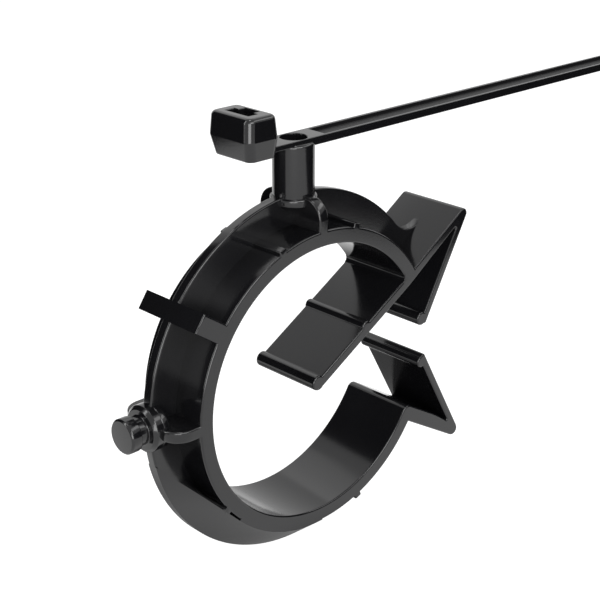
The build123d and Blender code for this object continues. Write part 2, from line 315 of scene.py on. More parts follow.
LEAF_X, LEAF_T = BORE_R + 1.5, 1.35
UNDER_HOOK = at(MOUTH_HALF, 35.73, 0.246)      # a point on the underside of the hook's plate
VEE_ROUND, LEAF_ROUND, HOOK_ROUND = 0.25, 0.4, 0.9
leaf_end = (LEAF_X, 2.75)
inner_a, inner_b = beside_line(leaf_end, HOOK_CORNER, LEAF_T)
low_in = at(MOUTH_HALF, BORE_R, TONGUE_BOTTOM)
vee = meet(low_in, UNDER_HOOK, inner_a, inner_b)
outline = [at(MOUTH_HALF, TONGUE_END, TONGUE_TOP), at(MOUTH_HALF, TONGUE_END, TONGUE_BOTTOM),
           low_in, vee, inner_a, leaf_end, HOOK_CORNER, at(MOUTH_HALF, BORE_R, TONGUE_TOP)]
upper_jaw = [prism("upper_jaw", soften(outline, {3: VEE_ROUND, 5: LEAF_ROUND, 6: HOOK_ROUND}),
                   -HALF_W, HALF_W)]
END_BEAD, MID_BEAD = (at(MOUTH_HALF, -0.75, 0.45), 1.22), (at(MOUTH_HALF, 11.5, 0.6), 0.95)
HOOK_BEAD = (beside(leaf_end, HOOK_CORNER, 0.613, 1.369), 1.15)
for centre, radius in (END_BEAD, MID_BEAD, HOOK_BEAD):
    upper_jaw.append(prism("bead", circle(centre, radius), -HALF_W, HALF_W))
print("upper jaw outline corners:", len(outline), "beads:", len(upper_jaw) - 1)

# %% [markdown]
# Where the tongue's top runs into the bore, a small concave round keeps its root from
# tearing. It is one more solid laid in the corner. The round's centre lies as far above the
# tongue as it lies inside the bore, so the arc touches both.

# %% Round at the tongue's root
ROOT_ROUND, ROOT_SINK, ROOT_FOOT, ROOT_EDGE = 0.8, 0.4, 0.3, 0.1
root_up = TONGUE_TOP + ROOT_ROUND
root_along = math.sqrt((BORE_R - ROOT_ROUND) ** 2 - root_up ** 2)
root_turn = math.degrees(math.atan2(root_up, root_along))
root = [at(MOUTH_HALF, *p) for p in arc((root_along, root_up), ROOT_ROUND, -90, root_turn, 8)]
root += [at(MOUTH_HALF, BORE_R + ROOT_SINK, root_up),
         at(MOUTH_HALF, BORE_R + ROOT_SINK, ROOT_FOOT), at(MOUTH_HALF, root_along, ROOT_FOOT)]
upper_jaw.append(prism("root_round", root[::-1], -HALF_W, HALF_W, rim=ROOT_EDGE))
print("the root's round stands", round(root_along, 2), "mm along the tongue")


# %% Lower jaw
def three_point_arc(a, b, c, steps):
    """Points on the arc from a over b to c."""
    d = 2 * (a[0] * (b[1] - c[1]) + b[0] * (c[1] - a[1]) + c[0] * (a[1] - b[1]))
    sq = [p[0] ** 2 + p[1] ** 2 for p in (a, b, c)]
    centre = ((sq[0] * (b[1] - c[1]) + sq[1] * (c[1] - a[1]) + sq[2] * (a[1] - b[1])) / d,
              (sq[0] * (c[0] - b[0]) + sq[1] * (a[0] - c[0]) + sq[2] * (b[0] - a[0])) / d)
    first, last = [math.degrees(math.atan2(p[1] - centre[1], p[0] - centre[0])) for p in (a, c)]
    turn = (last - first + 180) % 360 - 180
    return arc(centre, math.dist(a, centre), first, first + turn, steps)


JAW, JAW_REACH = -MOUTH_HALF, 41.32
JAW_TOP, JAW_BOTTOM, JAW_ROOT, JAW_LEAF_T = 0.85, -1.7, -1.4, 1.3
JAW_BEND_R = 24.0                              # from here on the underside keeps its level
SHELF = 0.3                                    # level of the plate's top at the hook
DIP_START, DIP_MID = 11.32, 8.72               # both measured back from the jaw's end
DIP_LEVEL = 0.66                               # level of the dip at its middle point
LIP_ROUND, CORNER_ROUND, JAW_VEE_ROUND = 1.2, 1.1, 0.2
jaw_corner, jaw_end = at(JAW, JAW_REACH, JAW_BOTTOM), (LEAF_X, -2.45)
inner_a, inner_b = beside_line(jaw_end, jaw_corner, -JAW_LEAF_T)
dip_start = at(JAW, JAW_REACH - DIP_START, JAW_TOP)
dip_mid = at(JAW, JAW_REACH - DIP_MID, DIP_LEVEL)
jaw_vee = meet(at(JAW, JAW_REACH - DIP_START, SHELF), at(JAW, JAW_REACH, SHELF), inner_a, inner_b)
dip = three_point_arc(jaw_vee, dip_mid, dip_start, 14)
# The dip's first three points give way to the fillet of the vee.
outline = [at(JAW, BORE_R, JAW_TOP), at(JAW, BORE_R, JAW_ROOT), at(JAW, JAW_BEND_R, JAW_BOTTOM),
           jaw_corner, jaw_end, inner_a, jaw_vee] + dip[3:]
rounds = {0: LIP_ROUND, 3: CORNER_ROUND, 4: LEAF_ROUND, 6: JAW_VEE_ROUND}
JAW_BEAD = (beside(jaw_end, jaw_corner, 0.973, -1.231), 1.0)
lower_jaw = [prism("lower_jaw", soften(outline, rounds), -HALF_W, HALF_W),
             prism("bead", circle(*JAW_BEAD), -HALF_W, HALF_W)]
print("lower jaw reaches", round(jaw_corner[0], 2), round(jaw_corner[1], 2))

# %% [markdown]
# ## Bracket, gussets and pads
# A square bracket stands on the ring at the upper left. Under the tie and under the stud a
# gusset with two round shoulders crosses the flange, and a round pad is sunk in the cross.
# They are the same two pieces at two angles, so each has one function.

# %% Bracket, gussets, pads
BRACKET_ANGLE, BRACKET_HALF = 145.3, 1.5
bracket = prism("bracket", [at(BRACKET_ANGLE, ROOT_R, -BRACKET_HALF),
                            at(BRACKET_ANGLE, RIM_R, -BRACKET_HALF),
                            at(BRACKET_ANGLE, RIM_R, BRACKET_HALF),
                            at(BRACKET_ANGLE, ROOT_R, BRACKET_HALF)], -HALF_W, HALF_W)
GUSSET_HALF, GUSSET_TOP_R, SHOULDER_R, GUSSET_EDGE = 0.9, PAD_TOP_R + 0.3, 3.1, 0.28
PAD_R, PAD_T, PAD_ROUND = 3.58, 1.4, 0.35


def gusset(angle):
    """Plate across the ring; its outline is drawn in width and radius."""
    foot = BORE_R + SINK
    corners = [(-HALF_W, foot), (HALF_W, foot), (HALF_W, GUSSET_TOP_R), (-HALF_W, GUSSET_TOP_R)]

    def place(u, v, w):
        x, z = at(angle, v, w)
        return (x, u, z)

    return prism("gusset", soften(corners, {2: SHOULDER_R, 3: SHOULDER_R}, 14),
                 -GUSSET_HALF, GUSSET_HALF, place, rim=GUSSET_EDGE)


def pad(angle):
    low = PAD_TOP_R - PAD_T
    corners = [(0, low), (PAD_R, low), (PAD_R, PAD_TOP_R), (0, PAD_TOP_R)]
    return lathe("pad", soften(corners, {1: PAD_ROUND, 2: PAD_ROUND}, 5), angle)


crosses = [make(angle) for angle in (90, 180) for make in (gusset, pad)]
print("pieces of the two crosses:", len(crosses))

# %% [markdown]
# ## Stud and post
# The stud is a stepped pin that a neighbouring clip can snap over; the post is a plain round
# tower with a shoulder. Both are turned pieces, so a profile and a lathe describe them fully.
# The hole in the post is turned too, as a cutter with a lip that rounds the hole's mouth.

# %% Stud and post
foot, collar, neck, tip = PAD_TOP_R - SINK, PAD_TOP_R + 1.45, PAD_TOP_R + 2.95, PAD_TOP_R + 4.75
COLLAR_R, COLLAR_SLOPE, NECK_R, TIP_R, TIP_SLOPE = 3.6, 0.5, 2.2, 2.68, 0.25
stud_profile = [(0, foot), (COLLAR_R, foot), (COLLAR_R, collar - COLLAR_SLOPE),
                (COLLAR_R - COLLAR_SLOPE, collar), (NECK_R, collar), (NECK_R, neck),
                (TIP_R, neck), (TIP_R, tip - TIP_SLOPE), (TIP_R - TIP_SLOPE, tip), (0, tip)]
stud_rounds = {2: 0.25, 3: 0.25, 4: 0.15, 6: 0.15, 7: 0.2, 8: 0.2}
stud = lathe("stud", soften(stud_profile, stud_rounds, 5), 180)
POST_R, POST_TOP, POST_ROUND = 3.2, STRAP_TOP - 0.55, 0.5
post = lathe("post", soften([(0, foot), (POST_R, foot), (POST_R, POST_TOP), (0, POST_TOP)],
                            {2: POST_ROUND}, 5), 90)
HOLE_R, HOLE_FLOOR, LIP = 2.05, STRAP_TOP - 7.0, 0.16
lip_turns = [math.pi / 8 * i for i in (1, 2, 3)]
hole = lathe("hole", [(0, HOLE_FLOOR), (HOLE_R, HOLE_FLOOR), (HOLE_R, STRAP_TOP - LIP)]
             + [(HOLE_R + LIP * (1 - math.cos(t)), STRAP_TOP - LIP * (1 - math.sin(t)))
                for t in lip_turns]
             + [(HOLE_R + 1.2 * LIP, STRAP_TOP + PAST), (0, STRAP_TOP + PAST)], 90)
print("post from", round(foot, 2), "to", round(POST_TOP, 2), "mm")

# %% [markdown]
# ## Strap
# The strap is a flat ribbon with a shallow channel between two rails; the pawl in the head
# later bites into the teeth on the channel's floor. The channel is cut from the ribbon, and
# the cutter is a little wider at its top, so the rails get soft inner edges too.

# %% Strap and arm
STRAP_HALF, STRAP_T, STRAP_EDGE = 2.3, 1.3, 0.14
STRAP_END, TAIL, TAIL_HALF, TAIL_ROUND = 187.7, 14.0, 1.4, 0.9
RAIL, CHANNEL_DEPTH, CHANNEL_START, RAIL_EDGE = 0.47, 0.69, 4.65, 0.08
channel_end, channel_half = STRAP_END - TAIL, STRAP_HALF - RAIL
channel_floor = STRAP_TOP - CHANNEL_DEPTH
ribbon = [(0, -STRAP_HALF), (channel_end, -STRAP_HALF), (STRAP_END, -TAIL_HALF),
          (STRAP_END, TAIL_HALF), (channel_end, STRAP_HALF), (0, STRAP_HALF)]
strap = prism("strap", soften(ribbon, {2: TAIL_ROUND, 3: TAIL_ROUND}), STRAP_TOP - STRAP_T,
              STRAP_TOP, along_z, rim=STRAP_EDGE)
channel_plan = [(CHANNEL_START, -channel_half), (channel_end, -channel_half),
                (channel_end, channel_half), (CHANNEL_START, channel_half)]
flare = ((channel_floor, 0), (STRAP_TOP - RAIL_EDGE, 0), (STRAP_TOP + PAST, -RAIL_EDGE - PAST))
channel = closed("channel", [[(u, v, w) for u, v in inset(channel_plan, gap)]
                             for w, gap in flare])
ARM_START, ARM_END, ARM_T = -8.1, 1.6, 0.85
arm = prism("arm", [(ARM_START, -STRAP_HALF), (ARM_END, -STRAP_HALF), (ARM_END, STRAP_HALF),
                    (ARM_START, STRAP_HALF)], STRAP_TOP - ARM_T, STRAP_TOP, along_z,
            rim=STRAP_EDGE)
print("strap from the post to x =", STRAP_END)

# %% [markdown]
# ## Head
# The head is a small box with a waist: it widens up to a crease line and narrows again above
# it. It is built from a stack of rounded rectangles, closer together at the top, where they
# follow a quarter circle. A T-shaped opening is cut through it for the strap and the pawl.


# %% Head
def rectangle(x_low, x_high, half_y, radius, gap, steps=8):
    """Rounded rectangle in XY, inset by a gap."""
    r = radius - gap
    corners = [(x_high - radius, half_y - radius, 0), (x_low + radius, half_y - radius, 90),
               (x_low + radius, radius - half_y, 180), (x_high - radius, radius - half_y, 270)]
    return [p for x, y, turn in corners for p in arc((x, y), r, turn, turn + 90, steps)]


def between(a, b, t):
    return [p + (q - p) * t for p, q in zip(a, b)]


HEAD_LOW, HEAD_WAIST, HEAD_TOP = STRAP_TOP - 0.95, STRAP_TOP + 2.05, STRAP_TOP + 5.45
# Lowest and highest X, and half of the width, at three heights.
FOOT_SIZE, WAIST_SIZE, CROWN_SIZE = (-12.15, -6.8, 4.1), (-12.75, -6.7, 4.6), (-12.5, -7.0, 4.4)
HEAD_CORNER, FOOT_ROUND, TOP_ROUND = 1.25, 0.3, 0.8
FOOT_STEPS, TOP_STEPS = 3, 6
CREASE, CREASE_SHARE = 0.08, 0.025     # the waist's crease is blunted by two close rings
levels = []
for i in range(FOOT_STEPS + 1):
    t = math.pi / 2 * i / FOOT_STEPS
    levels.append((HEAD_LOW + FOOT_ROUND * (1 - math.cos(t)), FOOT_SIZE,
                   FOOT_ROUND * (1 - math.sin(t))))
levels.append((HEAD_WAIST - CREASE, between(FOOT_SIZE, WAIST_SIZE, 1 - CREASE_SHARE), 0))
levels.append((HEAD_WAIST + CREASE, between(WAIST_SIZE, CROWN_SIZE, CREASE_SHARE), 0))
top_size = between(WAIST_SIZE, CROWN_SIZE, 1 - TOP_ROUND / (HEAD_TOP - HEAD_WAIST))
for i in range(TOP_STEPS + 1):
    t = math.pi / 2 * i / TOP_STEPS
    levels.append((HEAD_TOP - TOP_ROUND * (1 - math.sin(t)), top_size,
                   TOP_ROUND * (1 - math.cos(t))))
head = closed("head", [[(x, y, z) for x, y in rectangle(*size, HEAD_CORNER, gap)]
                       for z, size, gap in levels])
print("head from", round(HEAD_LOW, 2), "to", round(HEAD_TOP, 2), "mm")

# %% Spine, openings and pawl
SPINE_X, SPINE_R, SPINE_ROUND = -6.9, 0.55, 0.15
spine_low, spine_high = HEAD_LOW + 1.2, HEAD_TOP - 0.6
spine_rings = ((spine_low, SPINE_R - SPINE_ROUND), (spine_low + SPINE_ROUND, SPINE_R),
               (spine_high - SPINE_ROUND, SPINE_R), (spine_high, SPINE_R - SPINE_ROUND))
spine = closed("spine", [[(SPINE_X + x, y, z) for x, y in circle((0, 0), r, 24)]
                         for z, r in spine_rings])
SLOT_LOW, SLOT_HIGH, SLOT_HALF = -10.9, -9.3, STRAP_HALF + 0.15
POCKET_LOW, POCKET_HIGH, POCKET_HALF = SLOT_HIGH - 0.5, -8.1, 1.5
POCKET_FLOOR = HEAD_LOW + 1
MOUTH_FLARE = ((-0.2, 0), (-0.06, -0.06), (PAST, -0.24))   # height above the top, and inset


def opening(name, x_low, x_high, half_y, z_low):
    """Cutter for the head, flared at its top so that the mouth of the cut is soft."""
    plan = [(x_low, -half_y), (x_high, -half_y), (x_high, half_y), (x_low, half_y)]
    steps = [(z_low, 0)] + [(HEAD_TOP + rise, gap) for rise, gap in MOUTH_FLARE]
    return closed(name, [[(u, v, w) for u, v in inset(plan, gap)] for w, gap in steps])


slot = opening("slot", SLOT_LOW, SLOT_HIGH, SLOT_HALF, HEAD_LOW - 1)
pocket = opening("pocket", POCKET_LOW, POCKET_HIGH, POCKET_HALF, POCKET_FLOOR)
# The pawl's side view, measured from the slot's wall and the head's foot.
pawl_side = [(1.5, 1.0), (0.0, 1.0), (0.0, 2.6), (-0.6, 3.8), (-0.3, 3.9), (-0.65, 4.7),
             (-0.35, 5.0), (0.1, 4.9), (0.55, 2.9), (1.5, 2.6)]
PAWL_PLAY, PAWL_EDGE = 0.25, 0.08
pawl_half = POCKET_HALF - PAWL_PLAY
pawl = prism("pawl", [(SLOT_HIGH + x, HEAD_LOW + z) for x, z in reversed(pawl_side)],
             -pawl_half, pawl_half, rim=PAWL_EDGE)
print("the slot is longer than the strap is thick by", round(SLOT_HIGH - SLOT_LOW - STRAP_T, 2), "mm")

# %% [markdown]
# ## Ribs and teeth
# Five low ribs cross the band, and 72 saw teeth stand on the channel's floor beyond the
# part of the strap that lies near the head. Both are one small solid that repeats, so
# Geometry Nodes place it: on the ring at given angles, and along the strap at a fixed pitch.
# One rib lies in the fill and sits deeper, so that only a thin line of it shows.
# The trees end in Realize Instances, because the part is later one skin, and the result is
# read back as a plain mesh.


# %% Tools for node trees
def add(tree, kind, **values):
    node = tree.nodes.new(kind)
    for name, value in values.items():
        setattr(node, name, value)
    return node


def wire(tree, pairs):
    """Links each output socket to its input socket."""
    for out_socket, in_socket in pairs:
        tree.links.new(out_socket, in_socket)


def geometry_tree(name, sizes):
    """An empty tree with a geometry input, an object input and named sizes."""
    tree = bpy.data.node_groups.new(name, "GeometryNodeTree")
    ask = tree.interface.new_socket
    ask("Geometry", in_out="INPUT", socket_type="NodeSocketGeometry")
    ask("Piece", in_out="INPUT", socket_type="NodeSocketObject")
    for size, kind in sizes:
        ask(size, in_out="INPUT", socket_type="NodeSocket" + kind)
    ask("Material", in_out="INPUT", socket_type="NodeSocketMaterial")
    ask("Geometry", in_out="OUTPUT", socket_type="NodeSocketGeometry")
    return tree, add(tree, "NodeGroupInput"), add(tree, "NodeGroupOutput")


def finish_tree(tree, source, points, output, rotation=None):
    """Puts the piece on the points, realizes it and gives it the material."""
    piece = add(tree, "GeometryNodeObjectInfo")
    place = add(tree, "GeometryNodeInstanceOnPoints")
    real = add(tree, "GeometryNodeRealizeInstances")
    paint = add(tree, "GeometryNodeSetMaterial")
    wire(tree, ((source.outputs["Piece"], piece.inputs["Object"]),
                (points, place.inputs["Points"]),
                (piece.outputs["Geometry"], place.inputs["Instance"]),
                (place.outputs["Instances"], real.inputs["Geometry"]),
                (real.outputs["Geometry"], paint.inputs["Geometry"]),
                (source.outputs["Material"], paint.inputs["Material"]),
                (paint.outputs["Geometry"], output.inputs["Geometry"])))
    if rotation:
        tree.links.new(rotation, place.inputs["Rotation"])


def plain_copy(obj):
    """The mesh of an object after its modifiers, which are then taken off."""
    bpy.context.view_layer.update()
    seen = obj.evaluated_get(bpy.context.evaluated_depsgraph_get())
    mesh = bpy.data.meshes.new_from_object(seen)
    obj.modifiers.clear()
    return mesh


def grown(name, mesh, tree, values):
    """The plain mesh that a tree makes from a base mesh and its named inputs."""
    obj = bpy.data.objects.new(name, mesh)
    bpy.context.scene.collection.objects.link(obj)
    modifier = obj.modifiers.new("grow", "NODES")
    modifier.node_group = tree
    for item in tree.interface.items_tree:
        if item.in_out == "INPUT" and item.name in values:
            modifier[item.identifier] = values[item.name]
    obj.data = plain_copy(obj)
    return obj


black = bpy.data.materials.new("black_plastic")
print("material for the trees:", black.name)

# %% Ribs on the ring
# Each rib's angle, and how much deeper than the others it sits.
RIBS = ((73.5, 0), (109.5, 0), (217.0, 0), (251.0, 0.3), (289.5, 0))
RIB_HALF, RIB_H, RIB_ROOT, RIB_ROUND, RIB_EDGE = 0.65, 0.6, -0.8, 0.2, 0.16
rib = prism("rib", soften([(RIB_ROOT, -RIB_HALF), (RIB_H, -RIB_HALF), (RIB_H, RIB_HALF),
                           (RIB_ROOT, RIB_HALF)], {1: RIB_ROUND, 2: RIB_ROUND}),
            -HALF_W, HALF_W, rim=RIB_EDGE)
tree, source, output = geometry_tree("ribs_on_ring", ())
place = add(tree, "GeometryNodeInputPosition")
split = add(tree, "ShaderNodeSeparateXYZ")
angle = add(tree, "ShaderNodeMath", operation="ARCTAN2")
back = add(tree, "ShaderNodeMath", operation="MULTIPLY")
back.inputs[1].default_value = -1
turn = add(tree, "ShaderNodeCombineXYZ")
points = add(tree, "GeometryNodeMeshToPoints")
wire(tree, ((source.outputs["Geometry"], points.inputs["Mesh"]),
            (place.outputs[0], split.inputs[0]),
            (split.outputs["Z"], angle.inputs[0]),
            (split.outputs["X"], angle.inputs[1]),
            (angle.outputs[0], back.inputs[0]),
            (back.outputs[0], turn.inputs["Y"])))
finish_tree(tree, source, points.outputs["Points"], output, turn.outputs[0])
spots = bpy.data.meshes.new("rib_spots")
spots.from_pydata([(x * MM, 0, z * MM) for x, z in [at(a, BAND_R - deep) for a, deep in RIBS]],
                  [], [])
ribs = grown("ribs", spots, tree, {"Piece": rib, "Material": black})
print("ribs:", len(RIBS), "faces:", len(ribs.data.polygons))

# %% Teeth on the strap
TOOTH_START, TOOTH_PITCH, TOOTH_H, TOOTH_COUNT = 82.0, 1.25, 0.28, 72
TOOTH_GAP, TOOTH_CREST = 0.01, 0.03
tooth_end, tooth_half = TOOTH_PITCH - TOOTH_GAP, channel_half + 0.06     # ends in the rails
tooth = prism("tooth", [(0, channel_floor - SINK), (tooth_end, channel_floor - SINK),
                        (tooth_end, channel_floor), (TOOTH_CREST, channel_floor + TOOTH_H),
                        (0, channel_floor + TOOTH_H)], -tooth_half, tooth_half, rim=0)
tree, source, output = geometry_tree("teeth_along_strap", (("Count", "Int"), ("Start", "Float"),
                                                           ("Pitch", "Float")))
row = add(tree, "GeometryNodeMeshLine", mode="OFFSET")
first, step = add(tree, "ShaderNodeCombineXYZ"), add(tree, "ShaderNodeCombineXYZ")
wire(tree, ((source.outputs["Count"], row.inputs["Count"]),
            (source.outputs["Start"], first.inputs["X"]),
            (source.outputs["Pitch"], step.inputs["X"]),
            (first.outputs[0], row.inputs["Start Location"]),
            (step.outputs[0], row.inputs["Offset"])))
finish_tree(tree, source, row.outputs["Mesh"], output)
teeth = grown("teeth", bpy.data.meshes.new("teeth_base"), tree,
              {"Piece": tooth, "Material": black, "Count": TOOTH_COUNT,
               "Start": TOOTH_START * MM, "Pitch": TOOTH_PITCH * MM})
print("teeth:", TOOTH_COUNT, "faces:", len(teeth.data.polygons))

# %% [markdown]
# ## One skin
# The solids overlap, as rough shapes do before they are welded. A chain of Boolean
# modifiers joins them, and cuts the bore of the post and the openings of the head. The
# result is one closed surface with nothing inside, which is what a moulding is.


# %% Join and cut
def apply(base, other, how):
    """Joins a solid to the base or cuts it away, and removes it."""
    modifier = base.modifiers.new(how, "BOOLEAN")
    modifier.operation, modifier.solver, modifier.object = how, "MANIFOLD", other
    base.data = plain_copy(base)
    bpy.data.objects.remove(other)


apply(fill, wall_cut, "DIFFERENCE")
apply(strap, channel, "DIFFERENCE")
apply(head, spine, "UNION")
apply(head, slot, "DIFFERENCE")
apply(head, pocket, "DIFFERENCE")
clip = band
joined = (flange, fill, bracket, ribs, *crosses, *upper_jaw, *lower_jaw, stud, post, strap, arm,
          head, pawl, teeth)
for other in joined:
    apply(clip, other, "UNION")
apply(clip, hole, "DIFFERENCE")
for helper in (rib, tooth):
    bpy.data.objects.remove(helper)
print("solids joined to the band:", len(joined))

# %% [markdown]
# Welding leaves a few edges of no length, which are dissolved. Counting the edges that don't
# join exactly two faces shows whether the skin is closed. Normals weighted by face area keep
# the flat faces flat in the light while the rims stay round.

# %% Clean the skin
NO_LENGTH = 0.0002 * MM
bm = bmesh.new()
bm.from_mesh(clip.data)
bmesh.ops.dissolve_degenerate(bm, dist=NO_LENGTH, edges=bm.edges)
open_edges = sum(1 for e in bm.edges if not e.is_manifold)
volume = bm.calc_volume() / MM ** 3
bm.to_mesh(clip.data)
bm.free()
print("faces:", len(clip.data.polygons), "open edges:", open_edges, "volume, mm3:", round(volume))

# %% Smooth rims
SHARP_ANGLE = 32               # degrees; rims turn by 30 from ring to ring
clip.name = clip.data.name = "clip_and_tie"
clip.data.shade_smooth()
clip.data.set_sharp_from_angle(angle=math.radians(SHARP_ANGLE))
weigh = clip.modifiers.new("weigh", "WEIGHTED_NORMAL")
weigh.mode, weigh.keep_sharp = "FACE_AREA", True
clip.data = plain_copy(clip)
clip.data.materials.clear()
clip.data.materials.append(black)
print("skin:", len(clip.data.vertices), "vertices")

# %% [markdown]
# ## Black plastic
# The part is moulded in a glossy black resin. From close by the surface isn't perfect: it
# has a very fine grain from the polished tool, and a slow waviness where the melt flowed and
# shrank, which bends reflections slightly. A node group makes both from Object coordinates
# and puts out a height and a mask; the shader stays in the material. The floor of the strap's
# channel is duller, because its part of the tool isn't polished. A second group finds that
# floor by its height, width and start, and its mask raises the roughness there.


# %% Groups for a moulded surface and the channel's floor
def shader_group(name, inputs, outputs):
    """An empty group with named inputs of given kinds and outputs that are numbers."""
    group = bpy.data.node_groups.new(name, "ShaderNodeTree")
    for socket, kind in inputs:
        group.interface.new_socket(socket, in_out="INPUT", socket_type="NodeSocket" + kind)
    for socket in outputs:
        group.interface.new_socket(socket, in_out="OUTPUT", socket_type="NodeSocketFloat")
    return group, add(group, "NodeGroupInput"), add(group, "NodeGroupOutput")


def moulded_surface():
    """Height from a fine grain and a slow flow, and a mask from the flow alone."""
    group, source, output = shader_group(
        "moulded_surface", (("Grain Size", "Float"), ("Grain", "Float"), ("Flow Size", "Float"),
                            ("Flow", "Float"), ("Vector", "Vector")), ("Height", "Mask"))
    noises = []
    for size, detail in (("Grain Size", 2.0), ("Flow Size", 3.0)):
        noise = add(group, "ShaderNodeTexNoise")
        noise.inputs["Detail"].default_value = detail
        wire(group, ((source.outputs["Vector"], noise.inputs["Vector"]),
                     (source.outputs[size], noise.inputs["Scale"])))
        noises.append(noise)
    fine, slow = noises
    grain = add(group, "ShaderNodeMath", operation="MULTIPLY")
    height = add(group, "ShaderNodeMath", operation="MULTIPLY_ADD")
    wire(group, ((fine.outputs["Fac"], grain.inputs[0]),
                 (source.outputs["Grain"], grain.inputs[1]),
                 (slow.outputs["Fac"], height.inputs[0]),
                 (source.outputs["Flow"], height.inputs[1]),
                 (grain.outputs[0], height.inputs[2]),
                 (height.outputs[0], output.inputs["Height"]),
                 (slow.outputs["Fac"], output.inputs["Mask"])))
    return group


def channel_floor_mask():
    """White on the floor of the strap's channel: so high, so far to both sides, from Start on."""
    group, source, output = shader_group(
        "channel_floor_mask", (("Vector", "Vector"), ("Height", "Float"),
                               ("Half Width", "Float"), ("Start", "Float")), ("Mask",))
    split = add(group, "ShaderNodeSeparateXYZ")
    level = add(group, "ShaderNodeMath", operation="COMPARE")
    level.inputs[2].default_value = 0.06 * MM      # how far above or below still counts
    across = add(group, "ShaderNodeMath", operation="COMPARE")
    across.inputs[1].default_value = 0
    beyond = add(group, "ShaderNodeMath", operation="GREATER_THAN")
    both = add(group, "ShaderNodeMath", operation="MULTIPLY")
    all_three = add(group, "ShaderNodeMath", operation="MULTIPLY")
    wire(group, ((source.outputs["Vector"], split.inputs[0]),
                 (split.outputs["Z"], level.inputs[0]),
                 (source.outputs["Height"], level.inputs[1]),
                 (split.outputs["Y"], across.inputs[0]),
                 (source.outputs["Half Width"], across.inputs[2]),
                 (split.outputs["X"], beyond.inputs[0]),
                 (source.outputs["Start"], beyond.inputs[1]),
                 (level.outputs[0], both.inputs[0]),
                 (across.outputs[0], both.inputs[1]),
                 (both.outputs[0], all_three.inputs[0]),
                 (beyond.outputs[0], all_three.inputs[1]),
                 (all_three.outputs[0], output.inputs["Mask"])))
    return group


surface, channel_mask = moulded_surface(), channel_floor_mask()
print("group sockets:", [item.name for item in surface.interface.items_tree])

# %% Material
DEEP_BLACK, SOFT_BLACK = (0.004, 0.004, 0.0045, 1), (0.006, 0.006, 0.007, 1)
POLISHED, LESS_POLISHED, DULL = 0.1, 0.17, 0.62        # roughness
black.use_nodes = True
tree = black.node_tree
shader = tree.nodes["Principled BSDF"]
shader.inputs["IOR"].default_value = 1.46
shader.inputs["Specular IOR Level"].default_value = 0.5
where = add(tree, "ShaderNodeTexCoord")
skin = add(tree, "ShaderNodeGroup", node_tree=surface)
for name, value in (("Grain Size", 3000.0), ("Grain", 0.1), ("Flow Size", 60.0), ("Flow", 0.3)):
    skin.inputs[name].default_value = value
channel_skin = add(tree, "ShaderNodeGroup", node_tree=channel_mask)
for name, value in (("Height", channel_floor), ("Half Width", channel_half),
                    ("Start", CHANNEL_START)):
    channel_skin.inputs[name].default_value = value * MM
tone = add(tree, "ShaderNodeMix", data_type="RGBA")
tone.inputs["A"].default_value, tone.inputs["B"].default_value = DEEP_BLACK, SOFT_BLACK
gloss = add(tree, "ShaderNodeMapRange")
gloss.inputs["To Min"].default_value, gloss.inputs["To Max"].default_value = POLISHED, LESS_POLISHED
finish = add(tree, "ShaderNodeMix", data_type="FLOAT")
finish.inputs["B"].default_value = DULL
bump = add(tree, "ShaderNodeBump")
bump.inputs["Strength"].default_value, bump.inputs["Distance"].default_value = 0.25, 0.1 * MM
wire(tree, ((where.outputs["Object"], skin.inputs["Vector"]),
            (where.outputs["Object"], channel_skin.inputs["Vector"]),
            (skin.outputs["Mask"], tone.inputs["Factor"]),
            (tone.outputs["Result"], shader.inputs["Base Color"]),
            (skin.outputs["Mask"], gloss.inputs["Value"]),
            (gloss.outputs["Result"], finish.inputs["A"]),
            (channel_skin.outputs["Mask"], finish.inputs["Factor"]),
            (finish.outputs["Result"], shader.inputs["Roughness"]),
            (skin.outputs["Height"], bump.inputs["Height"]),
            (bump.outputs["Normal"], shader.inputs["Normal"])))
print("material nodes:", len(tree.nodes))

# %% [markdown]
# ## Studio
# A pale floor lies under the ring. Large soft boxes stand round the part, because a glossy
# black body shows hardly any colour of its own: what it shows is the room. The floor's white
# is a glow that only the camera and reflections see, so it puts no more light on the part.
# Under the ring that glow is weaker in reflections, as the part darkens the real floor where
# it nearly touches it. A camera with a long lens looks down on it from the front left.


# %% Floor
def matt(name, tone, roughness):
    """A material of one grey that mirrors nothing."""
    material = bpy.data.materials.new(name)
    material.use_nodes = True
    shader = material.node_tree.nodes["Principled BSDF"]
    shader.inputs["Base Color"].default_value = (tone, tone, tone, 1)
    shader.inputs["Roughness"].default_value = roughness
    shader.inputs["Specular IOR Level"].default_value = 0.0
    return material


def ray_kinds(tree):
    """Two sockets: 1 for camera rays, and 1 for rays in reflections or through glass."""
    ray = add(tree, "ShaderNodeLightPath")
    mirrored = add(tree, "ShaderNodeMath", operation="MAXIMUM")
    wire(tree, ((ray.outputs["Is Glossy Ray"], mirrored.inputs[0]),
                (ray.outputs["Is Transmission Ray"], mirrored.inputs[1])))
    return ray.outputs["Is Camera Ray"], mirrored.outputs[0]


